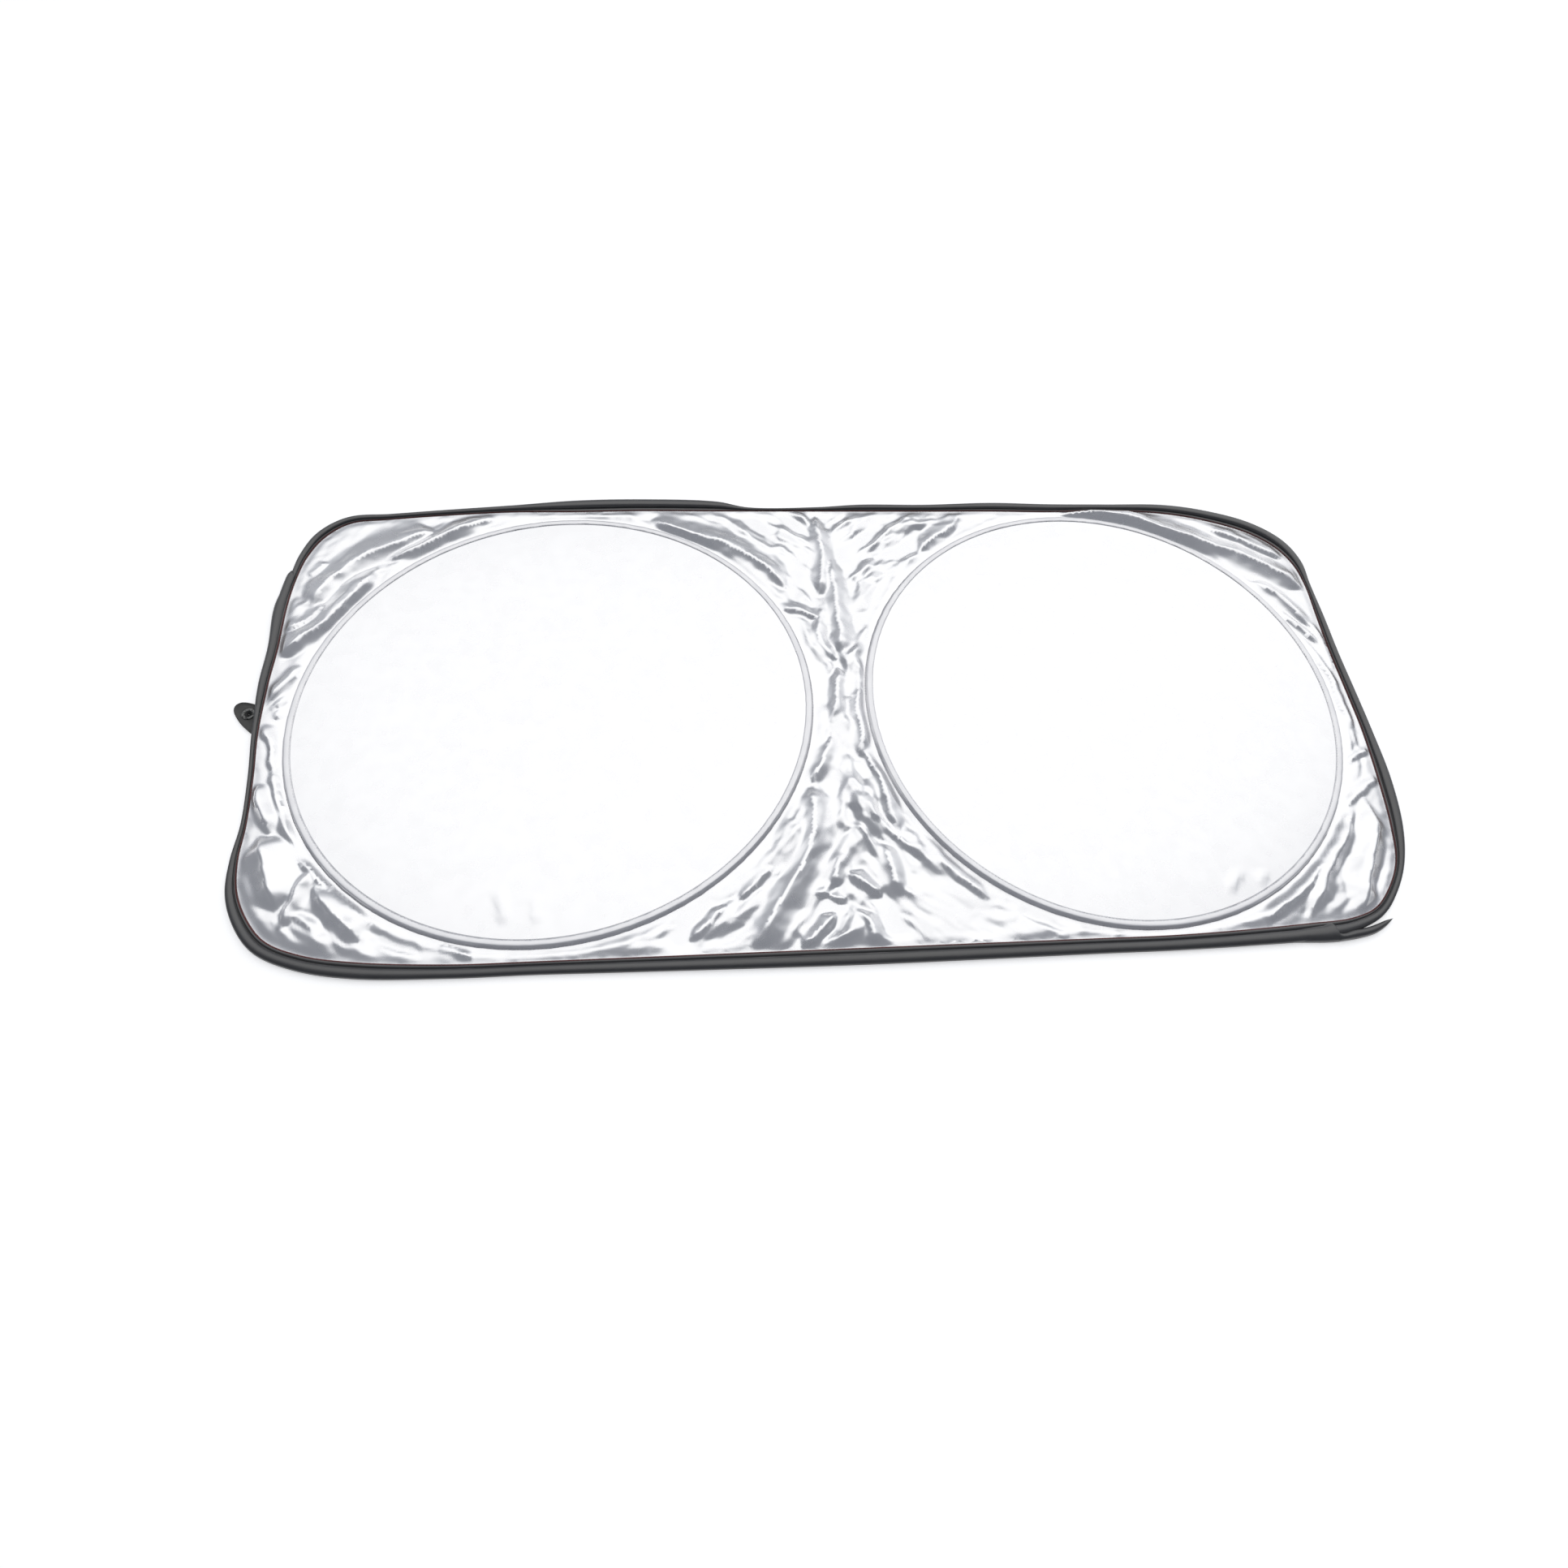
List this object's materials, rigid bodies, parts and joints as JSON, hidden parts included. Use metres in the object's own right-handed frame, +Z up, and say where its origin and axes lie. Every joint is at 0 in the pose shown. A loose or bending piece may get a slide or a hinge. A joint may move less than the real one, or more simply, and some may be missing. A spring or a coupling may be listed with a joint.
{
  "type": "windscreen sunshade",
  "caption": "Twist-and-fold windscreen sunshade laid out flat: silver cloth on two sprung wire hoops, black edge tape and a side tab with an eyelet.",
  "frame": {"origin": "under the middle of the laid-out shade, on the surface it lies on", "axes": "+X along the shade's length, away from the tab; +Y towards its top edge; +Z up through the cloth"},
  "size_m": [1.4484, 0.696, 0.0114],
  "materials": {
    "silver_cloth": "silver-coated nylon, satin",
    "casing_cloth": "silver-grey sewn tape",
    "black_tape": "woven polyester tape, matt",
    "spring_steel": "drawn spring wire",
    "crimp_metal": "crimped sleeve",
    "tab_rubber": "thin black rubber, matt",
    "eyelet_paint": "dark painted, worn"
  },
  "bodies": {
    "root": {"silver_panel": "silver_cloth", "edge_binding": "black_tape", "left_hoop_wire": "spring_steel", "left_hoop_ferrule": "crimp_metal", "left_hoop_casing": "casing_cloth", "right_hoop_wire": "spring_steel", "right_hoop_ferrule": "crimp_metal", "right_hoop_casing": "casing_cloth", "side_tab": "tab_rubber", "tab_eyelet": "eyelet_paint"}
  },
  "joints": []
}
